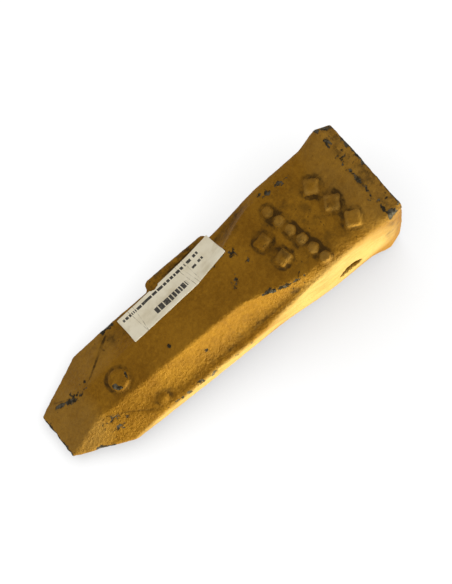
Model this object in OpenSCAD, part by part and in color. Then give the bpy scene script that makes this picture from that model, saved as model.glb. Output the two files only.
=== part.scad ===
// Cast ground tooth for a ripper shank: a hollow wedge that slides over an adapter nose and is held by
// a cross pin. Millimetres. The tooth is drawn on its own level axis, u from the chisel edge to the
// rear face, and is then laid on its lower side: X towards the edge, Z up, origin on the pin axis.

/* [Overall] */
// length from the chisel edge to the rear face
tooth_length = 255; // [235:1:285]
// full width of the rear collar on the parting line
collar_width = 75; // [72:0.5:82]
// full height over the two lips
lip_height = 92; // [88:1:100]
// full width on the parting line where the plan chamfers end
shoulder_width = 67; // [60:1:72]
// full width on the parting line where the scallop floor starts to climb
waist_width = 70.5; // [66:0.5:76]
// lean of each side face away from the parting line, in degrees
side_draft = 5; // [3:0.5:7]

/* [Chisel tip] */
// width of the chisel edge
edge_width = 32; // [26:1:38]
// blunt thickness of the chisel edge
edge_thickness = 3.4; // [2:0.2:5]
// length of the top and bottom bevels
bevel_length = 29; // [25:1:34]
// thickness of the tooth where the bevels end
bevel_thickness = 24; // [21:1:28]
// length of the plan chamfers beside the edge
chamfer_length = 39; // [32:1:46]
// climb of the four side facets from the chamfer edges, in degrees
facet_slope = 30; // [26:1:34]

/* [Spine and scallops] */
// width of the flat top of the centre spine at the stub
spine_width = 22; // [18:1:26]
// width of that flat top where the scallop floor starts to climb
spine_spread = 28; // [24:1:32]
// thickness of the side web under and over the scallops
web_thickness = 18; // [15:1:22]
// distance from the edge to where the scallop floor starts to climb
climb_start = 122; // [112:1:130]
// distance from the edge to where the scallops have run out
climb_end = 199; // [188:1:206]
// rounding of the outer rim of the web
rim_rounding = 2.5; // [1:0.5:4]
// width of the crowned long corners of the rear box
corner_width = 12; // [9:0.5:14]
// drop of those corners from the flat top to the side face
corner_drop = 3; // [2:0.5:5]

/* [Rear lip] */
// rise of the lip crest above the straight top line
lip_rise = 3; // [2:0.5:5]
// length over which the box flares out to the lip
flare_length = 17; // [13:1:26]
// lean of the side faces at the lip crest, in degrees
lip_lean = 1.5; // [0:0.5:4]
// length of the sloping land behind the lip crest
land_length = 10; // [7:0.5:13]
// drop of that land from the crest to the rear face
land_drop = 3; // [2:0.5:4]

/* [Adapter socket] */
// width of the socket mouth
mouth_width = 63; // [58:1:66]
// height of the socket mouth
mouth_height = 73; // [68:1:76]
// depth of the socket from the rear face
socket_depth = 100; // [90:1:108]
// width of the socket at its blind end
nose_width = 46; // [40:1:50]
// height of the socket at its blind end
nose_height = 24; // [20:1:28]
// length of the level zone at the blind end
nose_land = 22; // [16:1:28]
// rounding of the socket corners
socket_rounding = 7; // [4:0.5:9]

/* [Cross pin] */
// diameter of the bore through both sides
pin_diameter = 18; // [14:0.5:22]
// distance of the bore axis from the rear face
pin_setback = 44; // [38:1:50]

/* [Cast marks] */
// diameter of the round stub on the spine at its foot
pip_diameter = 15.6; // [12:0.2:18]
// height of the round stub
pip_height = 3; // [2:0.2:5]
// distance of the stub from the edge
pip_setback = 55; // [48:1:60]
// length of the cast lug on one flank
lug_length = 51; // [44:1:58]
// thickness of the lug
lug_thickness = 16; // [12:1:18]
// reach of the lug beyond the flank
lug_reach = 5.5; // [3:0.5:7]
// distance of the lug from the edge
lug_setback = 103; // [96:1:108]
// diameter of the low boss in the other scallop
boss_diameter = 8; // [6:0.5:10]
// distance of that boss from the edge
boss_setback = 69; // [66:1:80]

/* [Stock label] */
// length of the paper label
label_length = 80; // [60:1:84]
// width of the label, measured level at its front end
label_width = 20.5; // [14:0.5:21]
// thickness of the paper with its glue
label_thickness = 0.25; // [0.2:0.05:0.5]
// film of air that keeps the paper off the casting
label_gap = 0.15; // [0.1:0.05:0.3]
// distance of the label from the edge
label_setback = 75.5; // [72:0.5:80]

/* [Hidden] */
$fn = 64;

// lengthwise line of the casting
u_pin = tooth_length - pin_setback;
u_crest = tooth_length - land_length;
u_flare = u_crest - flare_length;
h_crest = lip_height / 2;
h_bevel = bevel_thickness / 2;
rim_z = web_thickness / 2;
climb = (h_crest - lip_rise - h_bevel) / (u_crest - bevel_length);

// lay the tooth down: the lower lip crest and the end of the lower bevel share the ground
rest_angle = atan((h_crest - h_bevel) / (u_crest - bevel_length));

// rings along the length: few where the form is straight, close where it turns
front_steps = 6;
run_steps = 26;
flare_steps = 9;
rim_steps = 3;
scallop_steps = 9;
stations = concat(
    [0],
    [for (i = [0 : front_steps - 1]) bevel_length + (climb_start - bevel_length) * i / front_steps],
    [for (i = [0 : run_steps]) climb_start + (climb_end - climb_start) * i / run_steps],
    [for (i = [0 : flare_steps]) u_flare + flare_length * i / flare_steps],
    [u_crest + land_length * 0.35, tooth_length]);

// eased step from 0 to 1 between a and b
function ease(x, a, b) =
    let (t = min(1, max(0, (x - a) / (b - a))))
    t * t * (3 - 2 * t);
function mix(a, b, t) = a + (b - a) * t;

// share of the land behind the crest that is passed at u
function land(u) = max(0, (u - u_crest) / land_length);

// half height of the top line: level under the bevel, straight climb, flare, then the land
function top_z(u) =
    h_bevel + climb * max(0, min(u, u_crest) - bevel_length)
    + lip_rise * ease(u, u_flare, u_crest)
    - land_drop * land(u);

// half width on the parting line: straight along the web, then out to the collar where the box begins
function side_y(u) =
    mix(shoulder_width, waist_width, min(1, (u - chamfer_length) / (climb_start - chamfer_length))) / 2
    + (collar_width - waist_width) / 2 * ease(u, mix(climb_start, climb_end, 0.4), climb_end)
    - land_drop * land(u);

// lean of the side face, which stands up into the lip
function lean(u) = tan(mix(side_draft, lip_lean, ease(u, u_flare, u_crest)));

// share of the full box section at u, and what is left of its crowned corners towards the lip
function box(u) = ease(u, mix(climb_start, climb_end, 0.7), u_flare);
function lip_share(u) = mix(1, 0.4, ease(u, u_flare, u_crest));

// width of the corner at u: half of it where the scallop ends
function corner(u) = corner_width * mix(0.5, 1, box(u)) * lip_share(u);

// height at which the side face ends: the web rim in front, the box corner behind
function rim(u) = mix(rim_z, top_z(u) - corner_drop * lip_share(u), ease(u, climb_start, climb_end));

// half width of the flat top: the spreading spine in front, the box behind
function spine_y(u) = mix(spine_width, spine_spread, (u - pip_setback) / (climb_start - pip_setback)) / 2;
function flat_y(u) =
    mix(spine_y(u), side_y(u) - top_z(u) * lean(u) - corner(u),
        ease(u, mix(climb_start, climb_end, 0.2), mix(climb_start, climb_end, 0.84)));

// share by which the hollow wall of the scallop has become the crowned corner of the box
function crown(u) = ease(u, mix(climb_start, climb_end, 0.6), climb_end);

// direction of the wall at the rim: level in the scallop, turned up in the corner
function turn(u) = crown(u) * atan(2 * corner_drop / corner_width);

// the rim corner, and the points on its two sides where its rounding starts
function rim_corner(u) = [side_y(u) - rim(u) * lean(u), rim(u)];
function rim_low(u) = rim_corner(u) + rim_rounding * [sin(atan(lean(u))), -cos(atan(lean(u)))];
function rim_in(u) = rim_corner(u) + rim_rounding * [-cos(turn(u)), sin(turn(u))];

// arc that leaves a towards b and reaches c from there
function bend(a, b, c, t) = a * (1 - t) * (1 - t) + b * 2 * t * (1 - t) + c * t * t;

// wall from the rim (t = 0) to the edge of the flat top (t = 1): level at the rim where it is hollow,
// level at the top where it is crowned
function wall(u, t) =
    let (low = rim_in(u), high = [flat_y(u), top_z(u)])
    bend(low, [(low[0] + high[0]) / 2, mix(low[1], high[1], crown(u))], high, t);

// place along the wall that lies y from the middle, by halving
function wall_at(u, y, low = 0, high = 1, n = 20) =
    let (t = (low + high) / 2)
    n == 0 ? t : wall(u, t)[0] > y ? wall_at(u, y, t, high, n - 1) : wall_at(u, y, low, t, n - 1);

// height of the upper skin between the middle and the rim
function skin_z(u, y) = y <= flat_y(u) ? top_z(u) : wall(u, wall_at(u, y))[1];

// point at height h off that skin, seen in the cross-section
function off_skin(u, y, h) =
    let (d = 0.2)
    let (slope = (skin_z(u, y + d) - skin_z(u, y - d)) / (2 * d))
    [y, skin_z(u, y)] + h * [-slope, 1] / norm([slope, 1]);

// one quarter of a ring, from the side face up to the flat top
function quarter(u) = concat(
    [for (i = [0 : rim_steps]) bend(rim_low(u), rim_corner(u), rim_in(u), i / rim_steps)],
    [for (i = [1 : scallop_steps]) wall(u, i / scallop_steps)]);

// whole ring at u, anticlockwise when seen from the chisel edge
function ring(u) =
    let (q = quarter(u), n = len(q))
    concat(
        [[side_y(u), 0]],
        q,
        [for (i = [n - 1 : -1 : 0]) [-q[i][0], q[i][1]]],
        [[-side_y(u), 0]],
        [for (i = [0 : n - 1]) [-q[i][0], -q[i][1]]],
        [for (i = [n - 1 : -1 : 0]) [q[i][0], -q[i][1]]]);

// cross-section of the label: under side outwards to inwards, folded over the crest, upper side back
label_steps = 8;
label_us = [for (i = [0 : 24]) label_setback + label_length * i / 24];
function label_y(u, i) =
    let (part = (u - label_setback) / label_length, outer = rim_in(u)[0] - 0.4)
    let (inner = outer - label_width * mix(1, 0.8, part))
    let (fold = max(flat_y(u), inner + label_gap))
    i == label_steps ? inner : mix(outer, fold, i / (label_steps - 1));
function label_row(u, h) = [for (i = [0 : label_steps]) off_skin(u, label_y(u, i), h)];
function label_ring(u) =
    let (under = label_row(u, label_gap), upper = label_row(u, label_gap + label_thickness))
    concat(
        [for (p = under) [-p[0], p[1]]],
        [for (i = [label_steps : -1 : 0]) [-upper[i][0], upper[i][1]]]);

// skin over a row of rings that have equally many points
module loft(us, rings) {
    n = len(rings[0]);
    m = len(rings);
    pts = [for (k = [0 : m - 1]) for (p = rings[k]) [u_pin - us[k], p[0], p[1]]];
    sides = [for (k = [0 : m - 2]) for (i = [0 : n - 1]) for (half = [0, 1])
        let (j = (i + 1) % n, a = k * n, b = a + n)
        half == 0 ? [a + i, b + j, b + i] : [a + i, a + j, b + j]];
    polyhedron(
        points = pts,
        faces = concat(
            [[for (i = [n - 1 : -1 : 0]) i]],
            sides,
            [[for (i = [0 : n - 1]) (m - 1) * n + i]]),
        convexity = 6);
}

// everything is drawn level and laid on its lower side here
module laid_down() {
    rotate([0, rest_angle, 0])
        children();
}

// wedge that trims the loft to the chisel: bevels above and below, blunt chamfers with two facets a side
module chisel_trim() {
    long = tooth_length * 1.5;
    steep = (h_bevel - edge_thickness / 2) / bevel_length;
    chamfer_angle = atan((shoulder_width - edge_width) / 2 / chamfer_length);
    t = edge_thickness / 2;
    intersection() {
        translate([u_pin, 0, 0])
            rotate([90, 0, 0])
                linear_extrude(height = long, center = true)
                    polygon([
                        [0, -t], [0, t],
                        [-long, t + long * steep], [-long, -t - long * steep]]);
        for_both_facets(chamfer_angle, long, t);
    }
}

// the facet pairs of both flanks, each a blunt vee drawn along its plan chamfer
module for_both_facets(angle, long, t) {
    grow = long * tan(facet_slope);
    intersection_for (side = [1, -1])
        translate([u_pin, side * edge_width / 2, 0])
            rotate([0, 0, -side * angle])
                rotate([0, 90, 0])
                    linear_extrude(height = long * 2, center = true)
                        polygon([
                            [t, 0], [-t, 0],
                            [-t - grow, -side * long], [t + grow, -side * long]]);
}

// rounded oblong ring of the socket
function oblong(w, h, r) = [
    for (c = [[1, 1, 0], [-1, 1, 90], [-1, -1, 180], [1, -1, 270]])
        for (a = [0 : 15 : 90])
            [c[0] * (w / 2 - r) + r * cos(c[2] + a), c[1] * (h / 2 - r) + r * sin(c[2] + a)]];

// tapered hollow for the adapter nose with a level zone at its blind end
module socket() {
    past = 4;
    taper = past / (socket_depth - nose_land);
    loft(
        [tooth_length - socket_depth, tooth_length - socket_depth + nose_land, tooth_length + past],
        [oblong(nose_width - 2, nose_height - 2, socket_rounding),
         oblong(nose_width, nose_height, socket_rounding),
         oblong(mouth_width + (mouth_width - nose_width) * taper,
                mouth_height + (mouth_height - nose_height) * taper,
                socket_rounding)]);
}

// oblong with four round corners, centred
module round_oblong(w, h, r) {
    square([w - 2 * r, h], center = true);
    square([w, h - 2 * r], center = true);
    for (x = [-1, 1])
        for (y = [-1, 1])
            translate([x * (w / 2 - r), y * (h / 2 - r)])
                circle(r = r);
}

// cast lug on one flank: a pad along the web, rounded in plan and along its edge
module lug() {
    root = 10;
    splay = atan((side_y(lug_setback + lug_length) - side_y(lug_setback)) / lug_length);
    translate([u_pin - lug_setback, -side_y(lug_setback), 0])
        rotate([0, 0, splay])
            translate([-lug_length / 2, (root - lug_reach) / 2, 0])
                intersection() {
                    linear_extrude(height = lug_thickness * 2, center = true)
                        round_oblong(lug_length, root + lug_reach, 5);
                    rotate([90, 0, 90])
                        linear_extrude(height = lug_length * 2, center = true)
                            round_oblong(root + lug_reach, lug_thickness, 3.5);
                }
}

// low round boss in the scallop across from the lug
module boss() {
    reach = mix(spine_width, shoulder_width, 0.58) / 2;
    low = 1;
    r = (boss_diameter * boss_diameter / 4 + low * low) / (2 * low);
    translate([u_pin - boss_setback, reach, skin_z(boss_setback, reach) + low - r])
        sphere(r = r, $fn = 48);
}

module tooth() {
    color([0.72, 0.52, 0.18])
        laid_down()
            difference() {
                union() {
                    intersection() {
                        loft(stations, [for (u = stations) ring(u)]);
                        chisel_trim();
                    }
                    lug();
                    boss();
                    translate([u_pin - pip_setback, 0, top_z(pip_setback) - 2])
                        cylinder(d1 = pip_diameter + 0.6, d2 = pip_diameter - 3.6, h = pip_height + 2);
                }
                socket();
                rotate([90, 0, 0])
                    cylinder(d = pin_diameter, h = collar_width * 2, center = true);
            }
}

// paper label: draped in the scallop above the lug, a little inside the rim
module paper_label() {
    color([0.86, 0.83, 0.76])
        laid_down()
            loft(label_us, [for (u = label_us) label_ring(u)]);
}

tooth();
paper_label();
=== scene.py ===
import math
import bpy
import numpy as np
from mathutils import Matrix, Vector
from mathutils.bvhtree import BVHTree


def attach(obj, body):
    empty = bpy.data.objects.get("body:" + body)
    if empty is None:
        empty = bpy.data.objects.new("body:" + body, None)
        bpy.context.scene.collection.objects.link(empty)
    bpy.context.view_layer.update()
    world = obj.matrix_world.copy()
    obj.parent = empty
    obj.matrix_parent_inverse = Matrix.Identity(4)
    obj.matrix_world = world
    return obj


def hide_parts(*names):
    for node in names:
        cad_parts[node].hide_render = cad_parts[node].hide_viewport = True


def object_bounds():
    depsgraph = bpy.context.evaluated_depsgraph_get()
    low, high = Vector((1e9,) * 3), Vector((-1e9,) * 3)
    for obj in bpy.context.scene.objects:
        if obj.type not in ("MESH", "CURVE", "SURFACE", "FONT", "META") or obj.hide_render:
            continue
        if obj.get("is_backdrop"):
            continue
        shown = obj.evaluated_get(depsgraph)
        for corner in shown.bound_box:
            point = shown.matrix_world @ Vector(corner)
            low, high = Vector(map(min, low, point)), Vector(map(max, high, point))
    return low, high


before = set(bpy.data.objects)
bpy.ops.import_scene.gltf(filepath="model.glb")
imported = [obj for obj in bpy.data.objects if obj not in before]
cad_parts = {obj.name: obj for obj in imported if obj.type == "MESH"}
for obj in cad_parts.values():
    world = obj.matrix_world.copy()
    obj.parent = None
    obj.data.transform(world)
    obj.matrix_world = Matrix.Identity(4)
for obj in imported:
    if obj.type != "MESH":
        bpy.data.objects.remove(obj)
box_at_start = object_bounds()

# The level tooth, in mm: u runs from the chisel edge to the rear face, y across, z up from the
# parting line. It lies on its lower side, turned by the rest angle, with the pin axis as origin.
TOOTH_LENGTH = 255.0
PIN_SETBACK = 44.0
BEVEL_LENGTH = 29.0
BEVEL_THICKNESS = 24.0
LAND_LENGTH = 10.0
LIP_HEIGHT = 92.0
LIP_RISE = 3.0
CREST_RUN = TOOTH_LENGTH - LAND_LENGTH - BEVEL_LENGTH
CREST_CLIMB = (LIP_HEIGHT - BEVEL_THICKNESS) / 2
REST_ANGLE = math.atan(CREST_CLIMB / CREST_RUN)
TOP_CLIMB = math.atan((CREST_CLIMB - LIP_RISE) / CREST_RUN)
PIN_FROM_EDGE = TOOTH_LENGTH - PIN_SETBACK


def laid(u, y, z):
    """A point of the level tooth where it comes to lie, in metres."""
    x = PIN_FROM_EDGE - u
    c, s = math.cos(REST_ANGLE), math.sin(REST_ANGLE)
    return Vector((x * c + z * s, y, z * c - x * s)) / 1000


def levelled(points):
    """Rows of laid points, in metres, back to u, y and z of the level tooth."""
    c, s = math.cos(REST_ANGLE), math.sin(REST_ANGLE)
    x = (points[:, 0] * c - points[:, 2] * s) * 1000
    z = (points[:, 0] * s + points[:, 2] * c) * 1000
    return np.stack([PIN_FROM_EDGE - x, points[:, 1] * 1000, z], axis=1)


def top_height(u):
    return BEVEL_THICKNESS / 2 + math.tan(TOP_CLIMB) * (u - BEVEL_LENGTH)


def deselect():
    bpy.ops.object.select_all(action="DESELECT")


def select_only(piece):
    deselect()
    piece.select_set(True)
    bpy.context.view_layer.objects.active = piece


def apply_modifier(piece, kind, name, **settings):
    select_only(piece)
    modifier = piece.modifiers.new(name, kind)
    for key, value in settings.items():
        setattr(modifier, key, value)
    bpy.ops.object.modifier_apply(modifier=name)


def merged_copy(node_name, name):
    piece = bpy.data.objects.new(name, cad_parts[node_name].data.copy())
    bpy.context.scene.collection.objects.link(piece)
    select_only(piece)
    bpy.ops.object.mode_set(mode="EDIT")
    bpy.ops.mesh.select_all(action="SELECT")
    bpy.ops.mesh.remove_doubles(threshold=1e-6)
    bpy.ops.object.mode_set(mode="OBJECT")
    return piece


# The casting: the solid of the frame with raised blank tablets, one sand-cast skin over all of it.

# one cell of the skin, in metres
SKIN_CELL = 0.00105

# tablets in mm, each with a root that sinks into the top
TABLET_RAISE = 2.3
TABLET_ROOT = 4.0
TABLET_ROUNDING = 1.1
ROW_SLANT = math.radians(11.5)

# rows of tablets: plan, round or not, turn in degrees, u of the row's middle, first y, step and count
TABLET_ROWS = {
    "lozenge tablet": ((9.4, 9.4), False, 45, 223.8, -11.0, 15.7, 3),
    "stud tablet": ((6.4, 6.4), True, 0, 195.2, -17.0, 8.8, 6),
    "block tablet": ((9.0, 7.5), False, 0, 179.0, -5.1, 15.6, 2),
}

# fine seams between the facets of the tip: u and y in mm, the depth in metres, the half width and the
# lowest z in mm
SEAMS = (((30, 10), (47, 19), (67, 32.5)),
         ((12, -17), (27, -9.5), (39.5, -13), (67, -31)))
SEAM_DEPTH = 0.0003
SEAM_HALF_WIDTH = 1.1
SEAM_LOWEST = 1.0

# how many rounds of neighbours make the fine and the broad mean, and how strongly each curve counts
FINE_ROUNDS = 6
BROAD_ROUNDS = 30
FINE_GAIN = 2.4
BROAD_GAIN = 0.35

# dents in knocked edges and the unevenness of the cast skin: size and depth in metres
DENT_SIZE = 0.0075
DENT_DEPTH = 0.0022
DENT_LEVEL = 0.42
DENT_GAIN = 1.6
LEAST_WEIGHT = 0.05
CAST_SKIN = {
    "casting waves": (0.024, 0.0004),
    "mould skin": (0.0055, 0.0002),
    "sand skin": (0.0024, 0.0003),
}

# blows on the paint: centre and half lengths on the level tooth in mm, and how hard
KNOCKS = {
    "lip crest": ((249, 0, 46), (10, 70, 12), 1.0),
    "rear corner": ((244, 34, 36), (14, 8, 14), 0.7),
    "end of the lit scallop": ((172, 24, 33), (26, 11, 9), 0.85),
    "top beside the label": ((154, -5, 30), (21, 17, 9), 1.08),
    "far edge of the top": ((198, -26, 37), (20, 6, 9), 1.0),
    "front of the stub": ((50.5, 4, 19), (5, 5, 6), 1.1),
    "rear of the stub": ((62, 1.5, 20), (4, 4, 6), 1.0),
    "left of the bevel": ((27, -13, 8), (22, 9, 9), 1.25),
    "lit tip facet": ((35, 19, 6), (17, 13, 9), 1.15),
    "lower edge of the tip facet": ((18, 25, 2), (12, 6, 6), 0.95),
    "chisel edge": ((0, 0, 0), (7, 24, 6), 0.8),
    "lit web rim": ((110, 33, 8), (60, 6, 6), 0.6),
    "far web rim": ((68, -31, 8), (7, 6, 6), 1.15),
    "spot on the spine": ((92.5, 5, 22), (1.9, 2.2, 9), 1.9),
    "spot in the lit scallop": ((108.4, 20.5, 12), (2.2, 1.9, 9), 1.9),
}

# darkened zones, given in the same way: painted shade on the lug and the far scallop, ground-in dirt on
# the land behind the lip and between the tablets, and darker spots at the far end of the scallop, the side
# of the lip and the foot of the stub
SOILED_AND_SHADED = {
    "between the tablets": ((203, 3, 38), (44, 32, 12), 0.9),
    "land behind the lip": ((251, 0, 44), (9, 46, 10), 1.3),
    "far end of the scallop": ((172, -27, 24), (24, 9, 16), 0.9),
    "lug": ((128, -37, 2), (34, 10, 18), 1.5),
    "far scallop": ((100, -27, 10), (60, 14, 14), 1.0),
    "side of the lip": ((247, 37, 12), (9, 8, 34), 0.9),
    "foot of the stub": ((55, 1, 18), (13, 13, 6), 0.4),
}

# paint made pale on upright faces and proud edges only, given in the same way: rubbed thin by handling on
# the far flank, and painted highlight on the lit flank, the lit web rim and the edges of the tablets
RUBBED_AND_HIGHLIT = {
    "rear of the lit flank": ((197, 38, 8), (59, 9, 50), 1.0),
    "rear of the far flank": ((197, -38, -14), (59, 9, 34), 0.5),
    "lit web rim": ((105, 35, 2), (80, 5, 9), 1.0),
    "edges of the tablets": ((203, 5, 41), (40, 34, 10), 0.3),
}
UPRIGHT_GAIN = 1.6
UPRIGHT_CUT = 0.4

# the same pale tone on any face, given in the same way: a film of dust on the rear of the top, and painted
# light on the tip bevel and the left tip facet
DUSTY_AND_LIT = {
    "tip bevel": ((14, 0, 6), (26, 34, 14), 0.24),
    "left tip facet": ((45, -25, 8), (32, 18, 16), 0.16),
    "rear of the top": ((244, 0, 42), (24, 50, 16), 0.2),
}

# how steeply every zone fades out at its bounds
ZONE_STEEPNESS = 1.6


def soft_tablet(name, plan, round_plan):
    """One blank tablet, upright at the origin, its foot sunk by the root."""
    deselect()
    if round_plan:
        bpy.ops.mesh.primitive_cylinder_add(vertices=32, radius=0.5, depth=1)
    else:
        bpy.ops.mesh.primitive_cube_add(size=1)
    tablet = bpy.context.object
    tablet.name = name
    along, across = plan
    bpy.ops.object.mode_set(mode="EDIT")
    bpy.ops.mesh.select_all(action="SELECT")
    bpy.ops.transform.resize(value=(along / 1000, across / 1000, (TABLET_RAISE + TABLET_ROOT) / 1000))
    bpy.ops.mesh.bevel(offset=TABLET_ROUNDING / 1000, segments=3)
    bpy.ops.object.mode_set(mode="OBJECT")
    return tablet


def set_on_top(pattern, u, y, turn):
    """A copy of the tablet with its own mesh, standing on the top face."""
    tablet = pattern.copy()
    tablet.data = pattern.data.copy()
    bpy.context.scene.collection.objects.link(tablet)
    select_only(tablet)
    foot = Matrix.Translation(laid(u, y, top_height(u) + (TABLET_RAISE - TABLET_ROOT) / 2))
    tilt = Matrix.Rotation(REST_ANGLE + TOP_CLIMB, 4, "Y")
    tablet.matrix_world = foot @ (tilt @ Matrix.Rotation(ROW_SLANT + turn, 4, "Z"))
    bpy.ops.object.transform_apply()
    return tablet


def tablets_on_top():
    tablets = []
    for name, (plan, round_plan, turn, middle_u, first_y, step, count) in TABLET_ROWS.items():
        pattern = soft_tablet(name, plan, round_plan)
        for k in range(count):
            y = first_y + k * step
            u = middle_u + y * math.tan(ROW_SLANT)
            tablets.append(set_on_top(pattern, u, y, math.radians(turn)))
        bpy.data.objects.remove(pattern)
    return tablets


def skin_arrays(mesh):
    """Points, normals and edges of the skin, one row each."""
    points = np.empty(len(mesh.vertices) * 3)
    mesh.vertices.foreach_get("co", points)
    normals = np.empty(len(mesh.vertices) * 3)
    mesh.vertices.foreach_get("normal", normals)
    edges = np.empty(len(mesh.edges) * 2, dtype=np.int64)
    mesh.edges.foreach_get("vertices", edges)
    return points.reshape(-1, 3), normals.reshape(-1, 3), edges.reshape(-1, 2)


def neighbour_mean(values, edges, rounds):
    n = len(values)
    count = np.maximum(np.bincount(edges.ravel(), minlength=n), 1)[:, None]
    for _ in range(rounds):
        total = np.empty_like(values)
        for k in range(values.shape[1]):
            total[:, k] = (np.bincount(edges[:, 0], values[edges[:, 1], k], n)
                           + np.bincount(edges[:, 1], values[edges[:, 0], k], n))
        values = total / count
    return values


def zone_weight(points, zones):
    """The strongest zone at each point, fading out towards the ellipsoid that bounds it."""
    place = levelled(points)
    weights = np.zeros(len(points))
    for centre, half, weight in zones.values():
        away = (((place - np.array(centre)) / np.array(half)) ** 2).sum(1)
        weights = np.maximum(weights, weight * np.clip(ZONE_STEEPNESS * (1 - away), 0, 1))
    return weights


def seam_weight(points):
    """1 on the seams of the upper side, fading out to both sides."""
    place = levelled(points)
    plan = place[:, :2]
    away = np.full(len(points), TOOTH_LENGTH)
    for seam in SEAMS:
        for start, end in zip(seam, seam[1:]):
            start, run = np.array(start, float), np.array(end, float) - np.array(start, float)
            share = np.clip(((plan - start) @ run) / (run @ run), 0, 1)
            away = np.minimum(away, np.linalg.norm(plan - start - share[:, None] * run, axis=1))
    return np.exp(-(away / SEAM_HALF_WIDTH) ** 2) * (place[:, 2] > SEAM_LOWEST)


def weigh(piece, name, weights):
    """A vertex group with these weights, without the points that hardly count."""
    group = piece.vertex_groups.new(name=name)
    for i in np.nonzero(weights > LEAST_WEIGHT)[0]:
        group.add([int(i)], float(min(weights[i], 1)), "REPLACE")


def keep_value(mesh, name, values):
    layer = mesh.attributes.new(name, "FLOAT", "POINT")
    layer.data.foreach_set("value", np.ascontiguousarray(values, dtype=np.float32))


def clouds(name, size, depth=1):
    texture = bpy.data.textures.new(name, "CLOUDS")
    texture.noise_scale = size
    texture.noise_depth = depth
    return texture


def keep_wear_and_painted_light(mesh):
    """Attributes that the finish reads, painted shade and painted light zones among them, and the weight
    of the dents at each point.
    """
    points, normals, edges = skin_arrays(mesh)
    fine = neighbour_mean(points, edges, FINE_ROUNDS)
    wide = neighbour_mean(fine, edges, BROAD_ROUNDS)
    proud = np.clip(((points - fine) * normals).sum(1) / SKIN_CELL * FINE_GAIN, -1, 1)
    broad = np.clip(((points - wide) * normals).sum(1) / SKIN_CELL * BROAD_GAIN, -1, 1)
    edge = np.clip(proud, 0, 1)
    upright = np.clip(np.abs(normals[:, 1]) * UPRIGHT_GAIN - UPRIGHT_CUT, 0, 1)
    pale_wear_and_light = zone_weight(points, RUBBED_AND_HIGHLIT) * np.maximum(upright, edge)
    knocks = zone_weight(points, KNOCKS)
    keep_value(mesh, "proud", proud)
    keep_value(mesh, "broad", broad)
    keep_value(mesh, "knocks", knocks)
    keep_value(mesh, "soiled_and_shaded", zone_weight(points, SOILED_AND_SHADED))
    keep_value(mesh, "pale_wear_and_light", np.maximum(pale_wear_and_light, zone_weight(points, DUSTY_AND_LIT)))
    return knocks * edge * DENT_GAIN


def make_casting():
    body = merged_copy("tooth", "tooth_casting")
    tablets = tablets_on_top()
    select_only(body)
    for tablet in tablets:
        tablet.select_set(True)
    bpy.ops.object.join()
    apply_modifier(body, "REMESH", "one skin", mode="VOXEL", voxel_size=SKIN_CELL, use_smooth_shade=True)
    apply_modifier(body, "SMOOTH", "soften edges", factor=0.5, iterations=1)

    weigh(body, "seams", seam_weight(skin_arrays(body.data)[0]))
    apply_modifier(body, "DISPLACE", "seams", strength=-SEAM_DEPTH, mid_level=0.0, vertex_group="seams")
    weigh(body, "knocked edges", keep_wear_and_painted_light(body.data))
    apply_modifier(body, "DISPLACE", "knocked edges", texture=clouds("dents", DENT_SIZE, 2),
                   texture_coords="LOCAL", strength=-DENT_DEPTH, mid_level=DENT_LEVEL,
                   vertex_group="knocked edges")
    for name, (size, depth) in CAST_SKIN.items():
        apply_modifier(body, "DISPLACE", name, texture=clouds(name, size), texture_coords="LOCAL",
                       strength=depth, mid_level=0.5)
    body.vertex_groups.clear()
    return body


# The stock label: a strip of creased paper over the far scallop, loose where it passes the web rim.

# share of the length, then the outer and the inner corner on the level tooth in mm; the thickness in
# metres and the lift off the casting in mm
LABEL_ENDS_AND_FOLD = ((0.0, (75.7, -31.5), (77.7, -10.8)),
                       (0.64, (126.9, -34.4), (130.2, -12.1)),
                       (1.0, (154.6, -36.0), (157.0, -16.3)))
CELLS_ALONG = 160
CELLS_ACROSS = 42
PAPER_THICKNESS = 0.00016
PAPER_LIFT = 0.4

# folds that stand up across the label: share of the length, height in mm, half width as a share
MAIN_FOLD = (0.64, 0.35, 0.006)
SECOND_FOLD = (0.70, 0.25, 0.005)
FOLD_WANDER = 0.01

# slack ripples: height in mm, waves along and across, and where they start
RIPPLES = ((0.10, 23, 2.1, 0), (0.07, 51, -7, 1), (0.06, 9, 17, 0))

# a ragged bite out of the outer edge, as shares of the length and the width
TEAR_AT = 0.395
TEAR_HALF_LENGTH = 0.05
TEAR_DEPTH = 0.085
TEAR_RAGGED = 0.35
TEAR_TEETH = 210

# the web rim under the label: where it starts, its spread per mm, and the droop of the paper past it
RIM_START = (74.0, -30.6)
RIM_SPREAD = 0.012
RIM_DROOP = 0.10
ABOVE_THE_CASTING = 70


def on_label(a, b):
    """u and y of the point a along and b across the label."""
    for (a0, outer0, inner0), (a1, outer1, inner1) in zip(LABEL_ENDS_AND_FOLD, LABEL_ENDS_AND_FOLD[1:]):
        if a <= a1:
            break
    part = (a - a0) / (a1 - a0)
    outer = Vector(outer0).lerp(Vector(outer1), part)
    inner = Vector(inner0).lerp(Vector(inner1), part)
    return outer.lerp(inner, b)


def fold_height(a, fold):
    at, height, half = fold
    return height * math.exp(-((a - at) / half) ** 2)


def paper_height(a, b):
    """Height of the paper over the casting in mm: two folds, slack ripples elsewhere."""
    folds = fold_height(a - FOLD_WANDER * math.sin(b * 3), MAIN_FOLD) + fold_height(a, SECOND_FOLD)
    ripples = sum(height * math.sin(a * along + b * across + start)
                  for height, along, across, start in RIPPLES)
    return PAPER_LIFT + folds + ripples


def tear_edge(label):
    for face in label.data.polygons:
        a, b = face.center.x + 0.5, face.center.y + 0.5
        half = TEAR_HALF_LENGTH * (1 - b / TEAR_DEPTH) * (1 + TEAR_RAGGED * math.sin(a * TEAR_TEETH))
        face.select = abs(a - TEAR_AT) < half and b < TEAR_DEPTH
    bpy.ops.object.mode_set(mode="EDIT")
    bpy.ops.mesh.delete(type="FACE")
    bpy.ops.object.mode_set(mode="OBJECT")


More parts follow.
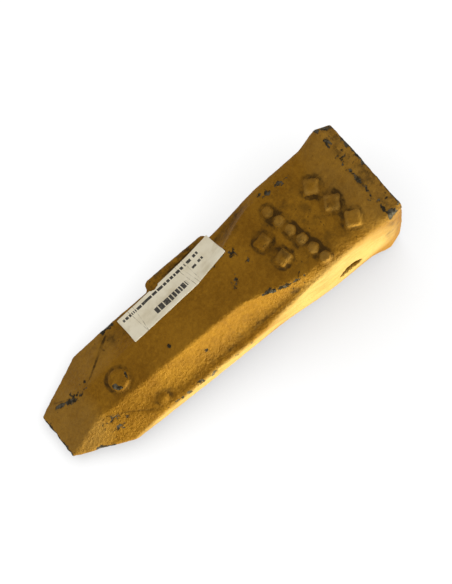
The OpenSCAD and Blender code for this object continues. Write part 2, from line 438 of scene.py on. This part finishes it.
def drape(label, body):
    """Lay the label on the casting; past the web rim it goes on straight and droops a little."""
    tree = BVHTree.FromObject(body, bpy.context.evaluated_depsgraph_get())
    down = (laid(0, 0, -1) - laid(0, 0, 0)).normalized()
    rim_u, rim_y = RIM_START
    for v in label.data.vertices:
        a, b = v.co.x + 0.5, v.co.y + 0.5
        u, y = on_label(a, b)
        over = max(0.0, rim_y - (u - rim_u) * RIM_SPREAD - y)
        hit, normal, _, _ = tree.ray_cast(laid(u, y + over, ABOVE_THE_CASTING), down)
        past_rim = Vector((0, -over / 1000, 0)) + down * over * RIM_DROOP / 1000
        v.co = hit + normal * paper_height(a, b) / 1000 + past_rim


def make_label(body):
    deselect()
    bpy.ops.mesh.primitive_grid_add(x_subdivisions=CELLS_ALONG, y_subdivisions=CELLS_ACROSS, size=1,
                                    calc_uvs=True)
    label = bpy.context.object
    label.name = "stock_label"
    bpy.ops.object.mode_set(mode="EDIT")
    bpy.ops.mesh.select_all(action="DESELECT")
    bpy.ops.object.mode_set(mode="OBJECT")
    tear_edge(label)
    drape(label, body)
    apply_modifier(label, "SMOOTH", "stiff paper", factor=0.5, iterations=6)
    apply_modifier(label, "SOLIDIFY", "paper thickness", thickness=PAPER_THICKNESS, offset=1)
    select_only(label)
    bpy.ops.object.shade_smooth()
    return label


# Finishes.

def srgb(r, g, b):
    return tuple(((c / 255) / 12.92 if c / 255 <= 0.04045 else ((c / 255 + 0.055) / 1.055) ** 2.4)
                 for c in (r, g, b)) + (1.0,)


OCHRE = srgb(121, 79, 13)
OCHRE_PALE = srgb(150, 104, 25)
# the pale tone of rubbed paint and dust, also used as painted highlight and painted light
OCHRE_WORN_AND_LIT = srgb(178, 143, 76)
# the dark tone of dirt, also used as painted shade
GRIME_AND_SHADE = srgb(54, 35, 14)
STEEL_DARK = srgb(42, 35, 26)
STEEL_PALE = srgb(88, 80, 66)
PAPER_CLEAN = srgb(244, 234, 208)
PAPER_SOILED = srgb(222, 209, 178)
PAPER_CREASE = srgb(140, 127, 100)
INK = srgb(34, 32, 34)

PAINT_GLOSS = 0.12
PAINT_GLINT = (1.0, 0.86, 0.36, 1)
GRAIN_STRENGTH = 0.9
GRAIN_DEPTH = 0.0011
CHIP_DEPTH = 0.7
SCUFF_STRETCH = (0.3, 1, 1)
PAPER_ROUGHNESS = 0.8
PAPER_GLOSS = 0.2

# rows of blank strokes: from and to along, from and to across, cells to the label's length, share of ink
STROKE_ROWS = ((0.03, 0.86, 0.12, 0.21, 110, 0.66),
               (0.72, 0.86, 0.37, 0.46, 110, 0.66),
               (0.275, 0.61, 0.565, 0.80, 120, 0.6))

# dark crease lines across the label: share of the length, and lean
CREASES = ((0.115, 0.02), (0.17, -0.03), (0.625, 0.015), (0.655, 0.02), (0.705, -0.01))


def new_group(name, inputs, outputs):
    """A node group whose first input is the place and whose other sockets are values."""
    group = bpy.data.node_groups.new(name, "ShaderNodeTree")
    group.interface.new_socket("Place", in_out="INPUT", socket_type="NodeSocketVector")
    for socket in inputs:
        group.interface.new_socket(socket, in_out="INPUT", socket_type="NodeSocketFloat")
    for socket in outputs:
        group.interface.new_socket(socket, in_out="OUTPUT", socket_type="NodeSocketFloat")
    return group, group.nodes.new("NodeGroupInput").outputs, group.nodes.new("NodeGroupOutput").inputs


def use_group(tree, group, **inputs):
    node = tree.nodes.new("ShaderNodeGroup")
    node.node_tree = group
    for socket, value in inputs.items():
        tree.links.new(value, node.inputs[socket])
    return node.outputs


def feed(tree, socket, value):
    if isinstance(value, (int, float, tuple)):
        socket.default_value = value
    else:
        tree.links.new(value, socket)


def calc(tree, operation, a, b=0.0):
    node = tree.nodes.new("ShaderNodeMath")
    node.operation = operation
    feed(tree, node.inputs[0], a)
    feed(tree, node.inputs[1], b)
    return node.outputs[0]


def plus(tree, a, b):
    return calc(tree, "ADD", a, b)


def times(tree, a, b):
    return calc(tree, "MULTIPLY", a, b)


def ramp(tree, value, low, high, to_low=0.0, to_high=1.0):
    node = tree.nodes.new("ShaderNodeMapRange")
    node.interpolation_type = "SMOOTHSTEP"
    tree.links.new(value, node.inputs["Value"])
    for socket, v in (("From Min", low), ("From Max", high), ("To Min", to_low), ("To Max", to_high)):
        node.inputs[socket].default_value = v
    return node.outputs["Result"]


def noise(tree, place, scale, detail, rough, seed):
    node = tree.nodes.new("ShaderNodeTexNoise")
    node.noise_dimensions = "4D"
    for socket, v in (("W", seed), ("Scale", scale), ("Detail", detail), ("Roughness", rough)):
        node.inputs[socket].default_value = v
    tree.links.new(place, node.inputs["Vector"])
    return node.outputs["Fac"]


def mix_colour(tree, share, a, b):
    node = tree.nodes.new("ShaderNodeMix")
    node.data_type = "RGBA"
    sockets = {s.identifier: s for s in node.inputs}
    feed(tree, sockets["Factor_Float"], share)
    feed(tree, sockets["A_Color"], a)
    feed(tree, sockets["B_Color"], b)
    return next(s for s in node.outputs if s.identifier == "Result_Color")


def skin_value(tree, name):
    node = tree.nodes.new("ShaderNodeAttribute")
    node.attribute_name = name
    return node.outputs["Fac"]


def chipped_paint_group():
    g, given, out = new_group("chipped paint", ["Proud", "Knocks"], ["Mask"])
    place, knocks = given["Place"], given["Knocks"]
    patches = noise(g, place, scale=170, detail=4, rough=0.62, seed=2.0)
    flakes = noise(g, place, scale=480, detail=3, rough=0.6, seed=5.0)
    field = plus(g, times(g, patches, 0.75), times(g, flakes, 0.32))
    edge = times(g, calc(g, "MAXIMUM", given["Proud"]), knocks)
    field = plus(g, field, times(g, edge, 0.2))
    field = plus(g, field, times(g, knocks, 0.12))
    g.links.new(ramp(g, field, 0.735, 0.785), out["Mask"])
    return g


def sand_cast_group():
    g, given, out = new_group("sand-cast grain", [], ["Height", "Mottle"])
    place = given["Place"]
    grit = noise(g, place, scale=1150, detail=2, rough=0.6, seed=1.0)
    sand = noise(g, place, scale=560, detail=2, rough=0.5, seed=3.0)
    lumps = noise(g, place, scale=240, detail=3, rough=0.5, seed=7.0)
    height = plus(g, plus(g, times(g, grit, 0.6), times(g, sand, 0.8)), times(g, lumps, 0.9))
    g.links.new(height, out["Height"])
    clouds_of_tone = noise(g, place, scale=38, detail=5, rough=0.6, seed=9.0)
    grains_of_tone = noise(g, place, scale=430, detail=5, rough=0.7, seed=41.0)
    g.links.new(plus(g, times(g, clouds_of_tone, 0.5), times(g, grains_of_tone, 0.5)), out["Mottle"])
    return g


def grime_and_painted_shade_group():
    g, given, out = new_group("grime and painted shade", ["Proud", "Broad", "Soiled"], ["Mask"])
    place, soiled_and_shaded = given["Place"], given["Soiled"]
    # creases and broad hollows are darkened as painted shade; the specks are dirt; the stains follow the
    # darkened zones, dirt in some and painted shade in others
    creases = ramp(g, times(g, given["Proud"], -1.0), 0.04, 0.32)
    hollows = ramp(g, times(g, given["Broad"], -1.0), 0.15, 0.8)
    streaks = ramp(g, noise(g, place, scale=95, detail=4, rough=0.65, seed=11.0), 0.42, 0.66)
    specked = plus(g, noise(g, place, scale=520, detail=3, rough=0.6, seed=13.0), times(g, soiled_and_shaded, 0.035))
    specks = ramp(g, specked, 0.675, 0.715)
    stains = ramp(g, noise(g, place, scale=130, detail=6, rough=0.7, seed=29.0), 0.40, 0.72)
    mask = plus(g, times(g, creases, 0.75), times(g, hollows, 0.25))
    mask = times(g, mask, plus(g, streaks, 0.25))
    mask = calc(g, "MAXIMUM", mask, times(g, specks, 0.85))
    mask = plus(g, mask, times(g, stains, times(g, soiled_and_shaded, 0.7)))
    g.links.new(calc(g, "MINIMUM", mask, 0.9), out["Mask"])
    return g


def ochre_on_cast_steel():
    material = bpy.data.materials.new("ochre paint on cast steel")
    material.use_nodes = True
    t = material.node_tree
    bsdf = t.nodes["Principled BSDF"]
    place = t.nodes.new("ShaderNodeTexCoord").outputs["Object"]
    proud = skin_value(t, "proud")
    chips = use_group(t, chipped_paint_group(), Place=place, Proud=proud,
                      Knocks=skin_value(t, "knocks"))["Mask"]
    grime_and_shade = use_group(t, grime_and_painted_shade_group(), Place=place, Proud=proud,
                      Broad=skin_value(t, "broad"), Soiled=skin_value(t, "soiled_and_shaded"))["Mask"]
    grain = use_group(t, sand_cast_group(), Place=place)

    paint = mix_colour(t, ramp(t, grain["Mottle"], 0.35, 0.65), OCHRE, OCHRE_PALE)
    # pale paint: rubbed wear and dust, painted highlight on the lit flank, the lit web rim and the
    # tablets' edges, and painted light on the tip bevel and the left tip facet
    drawn_out = t.nodes.new("ShaderNodeVectorMath")
    drawn_out.operation = "MULTIPLY"
    drawn_out.inputs[1].default_value = SCUFF_STRETCH
    t.links.new(place, drawn_out.inputs[0])
    streaky = noise(t, drawn_out.outputs[0], scale=230, detail=6, rough=0.7, seed=31.0)
    scuffs_and_light = times(t, skin_value(t, "pale_wear_and_light"), ramp(t, streaky, 0.3, 0.62, 0.55, 1.0))
    paint = mix_colour(t, scuffs_and_light, paint, OCHRE_WORN_AND_LIT)
    # dark dirt, and painted shade in creases, in hollows, on the lug and on the far scallop
    paint = mix_colour(t, grime_and_shade, paint, GRIME_AND_SHADE)
    bare = noise(t, place, scale=300, detail=3, rough=0.6, seed=17.0)
    steel = mix_colour(t, ramp(t, bare, 0.42, 0.62), STEEL_DARK, STEEL_PALE)
    t.links.new(mix_colour(t, chips, paint, steel), bsdf.inputs["Base Color"])

    t.links.new(ramp(t, grain["Mottle"], 0.3, 0.7, 0.5, 0.62), bsdf.inputs["Roughness"])
    bsdf.inputs["Specular IOR Level"].default_value = PAINT_GLOSS
    bsdf.inputs["Specular Tint"].default_value = PAINT_GLINT
    bump = t.nodes.new("ShaderNodeBump")
    bump.inputs["Strength"].default_value = GRAIN_STRENGTH
    bump.inputs["Distance"].default_value = GRAIN_DEPTH
    t.links.new(calc(t, "SUBTRACT", grain["Height"], times(t, chips, CHIP_DEPTH)), bump.inputs["Height"])
    t.links.new(bump.outputs["Normal"], bsdf.inputs["Normal"])
    return material


def creased_label_paper():
    material = bpy.data.materials.new("creased label paper")
    material.use_nodes = True
    t = material.node_tree
    bsdf = t.nodes["Principled BSDF"]
    coords = t.nodes.new("ShaderNodeTexCoord")
    place = coords.outputs["Object"]
    split = t.nodes.new("ShaderNodeSeparateXYZ")
    t.links.new(coords.outputs["UV"], split.inputs[0])
    along, across = split.outputs["X"], split.outputs["Y"]

    def between(value, low, high):
        return times(t, calc(t, "GREATER_THAN", value, low), calc(t, "LESS_THAN", value, high))

    def strokes(a0, a1, b0, b1, count, share):
        """A row of blank strokes at random."""
        node = t.nodes.new("ShaderNodeTexWhiteNoise")
        node.noise_dimensions = "1D"
        t.links.new(calc(t, "FLOOR", times(t, along, count)), node.inputs["W"])
        inked = calc(t, "LESS_THAN", node.outputs["Value"], share)
        return times(t, inked, times(t, between(along, a0, a1), between(across, b0, b1)))

    ink = 0.0
    for row in STROKE_ROWS:
        ink = calc(t, "MAXIMUM", strokes(*row), ink)
    stroke_wear = noise(t, place, scale=900, detail=2, rough=0.55, seed=19.0)
    ink = times(t, ink, ramp(t, stroke_wear, 0.25, 0.42, 0.5, 0.95))
    stains = noise(t, place, scale=75, detail=4, rough=0.6, seed=23.0)
    paper = mix_colour(t, ramp(t, stains, 0.38, 0.7), PAPER_CLEAN, PAPER_SOILED)
    for at, lean in CREASES:
        beside = calc(t, "SUBTRACT", calc(t, "SUBTRACT", along, at), times(t, across, lean))
        line = ramp(t, calc(t, "ABSOLUTE", beside), 0.001, 0.004, 1.0, 0.0)
        patchy = noise(t, place, scale=260, detail=3, rough=0.6, seed=37.0 + at)
        paper = mix_colour(t, times(t, line, ramp(t, patchy, 0.4, 0.62, 0.1, 0.8)), paper, PAPER_CREASE)
    t.links.new(mix_colour(t, ink, paper, INK), bsdf.inputs["Base Color"])
    bsdf.inputs["Roughness"].default_value = PAPER_ROUGHNESS
    bsdf.inputs["Specular IOR Level"].default_value = PAPER_GLOSS
    return material


# The stage: a white floor with a faint shadow, a side lamp and a strip lamp on the part, even fill.

FLOOR_SIZE = 8
FLOOR_GAP = 0.0003
FLOOR_GREY = 0.1

# the floor's own white near the part and far from it, where the shadow lamp's light has fallen off
FLOOR_WHITE = 0.49
FLOOR_WHITE_FAR = 0.95
FLOOR_NEAR = 0.6
FLOOR_FAR = 3.0

FILL = 0.72
LAMP_TINT = (0.95, 1.0, 0.9)
STRIP_WIDTH = 0.04
CAMERA_PLACE = (0.18602, 0.15184, 0.7411)
CAMERA_TURN = (0.25211, 0.00743, 2.4654)
CAMERA_LENS = 50.165
CAMERA_SENSOR = 24


def studio_white(tree):
    """1 for the rays that see the bare white studio, 0 for those that carry light."""
    path = tree.nodes.new("ShaderNodeLightPath")
    seen = calc(tree, "MAXIMUM", path.outputs["Is Camera Ray"], path.outputs["Is Glossy Ray"])
    return calc(tree, "MAXIMUM", seen, path.outputs["Is Transmission Ray"])


def make_floor():
    lowest = min(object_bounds()[0][2], box_at_start[0][2])
    deselect()
    bpy.ops.mesh.primitive_plane_add(size=FLOOR_SIZE, location=(0, 0, lowest - FLOOR_GAP))
    floor = bpy.context.object
    floor.name = "floor"
    material = bpy.data.materials.new("white floor")
    material.use_nodes = True
    t = material.node_tree
    bsdf = t.nodes["Principled BSDF"]
    bsdf.inputs["Base Color"].default_value = (FLOOR_GREY, FLOOR_GREY, FLOOR_GREY, 1)
    bsdf.inputs["Roughness"].default_value = 0.9
    bsdf.inputs["Specular IOR Level"].default_value = 0.0
    bsdf.inputs["Emission Color"].default_value = (1, 1, 1, 1)
    distance = t.nodes.new("ShaderNodeVectorMath")
    distance.operation = "LENGTH"
    t.links.new(t.nodes.new("ShaderNodeTexCoord").outputs["Object"], distance.inputs[0])
    white = ramp(t, distance.outputs["Value"], FLOOR_NEAR, FLOOR_FAR, FLOOR_WHITE, FLOOR_WHITE_FAR)
    t.links.new(times(t, studio_white(t), white), bsdf.inputs["Emission Strength"])
    floor.data.materials.append(material)
    floor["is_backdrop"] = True
    return floor


def make_world():
    world = bpy.data.worlds.new("studio")
    bpy.context.scene.world = world
    world.use_nodes = True
    t = world.node_tree
    back = t.nodes["Background"]
    back.inputs["Color"].default_value = (1, 1, 1, 1)
    t.links.new(ramp(t, studio_white(t), 0, 1, FILL, 1.0), back.inputs["Strength"])


def lamp(name, place, aim, size, power):
    deselect()
    bpy.ops.object.light_add(type="AREA", location=place)
    light = bpy.context.object
    light.name = name
    light.data.shape = "DISK"
    light.data.size = size
    light.data.energy = power
    light.rotation_euler = (Vector(aim) - Vector(place)).to_track_quat("-Z", "Y").to_euler()
    return light


def shine_on(light, pieces):
    group = bpy.data.collections.new("lit by the " + light.name)
    for piece in pieces:
        group.objects.link(piece)
    light.light_linking.receiver_collection = group


def make_lamps(pieces, floor):
    side = lamp("side lamp", place=(-0.18, 1.17, 0.13), aim=(0.06, 0, 0.01), size=0.22, power=13)
    strip = lamp("floor strip lamp", place=(0.03, 0.33, -0.03), aim=(0.03, 0, 0.005), size=0.45, power=2.7)
    strip.data.shape = "RECTANGLE"
    strip.data.size_y = STRIP_WIDTH
    strip.visible_camera = False
    for light in (side, strip):
        light.data.color = LAMP_TINT
        shine_on(light, pieces)
    shadow = lamp("shadow lamp", place=(0.02, -0.08, 1.4), aim=(0.07, 0, 0), size=3.0, power=210)
    shine_on(shadow, [floor])


def make_camera():
    data = bpy.data.cameras.new("camera")
    data.sensor_fit = "VERTICAL"
    data.sensor_height = CAMERA_SENSOR
    data.lens = CAMERA_LENS
    camera = bpy.data.objects.new("camera", data)
    bpy.context.scene.collection.objects.link(camera)
    camera.location = CAMERA_PLACE
    camera.rotation_euler = CAMERA_TURN
    bpy.context.scene.camera = camera


casting = make_casting()
label = make_label(casting)
casting.data.materials.clear()
casting.data.materials.append(ochre_on_cast_steel())
label.data.materials.append(creased_label_paper())
for piece, node, slot in ((casting, "tooth", "painted_casting"), (label, "paper_label", "label_paper")):
    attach(piece, "root")
    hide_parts(node)
make_world()
make_lamps([casting, label], make_floor())
make_camera()
bpy.context.scene.view_settings.view_transform = "Standard"
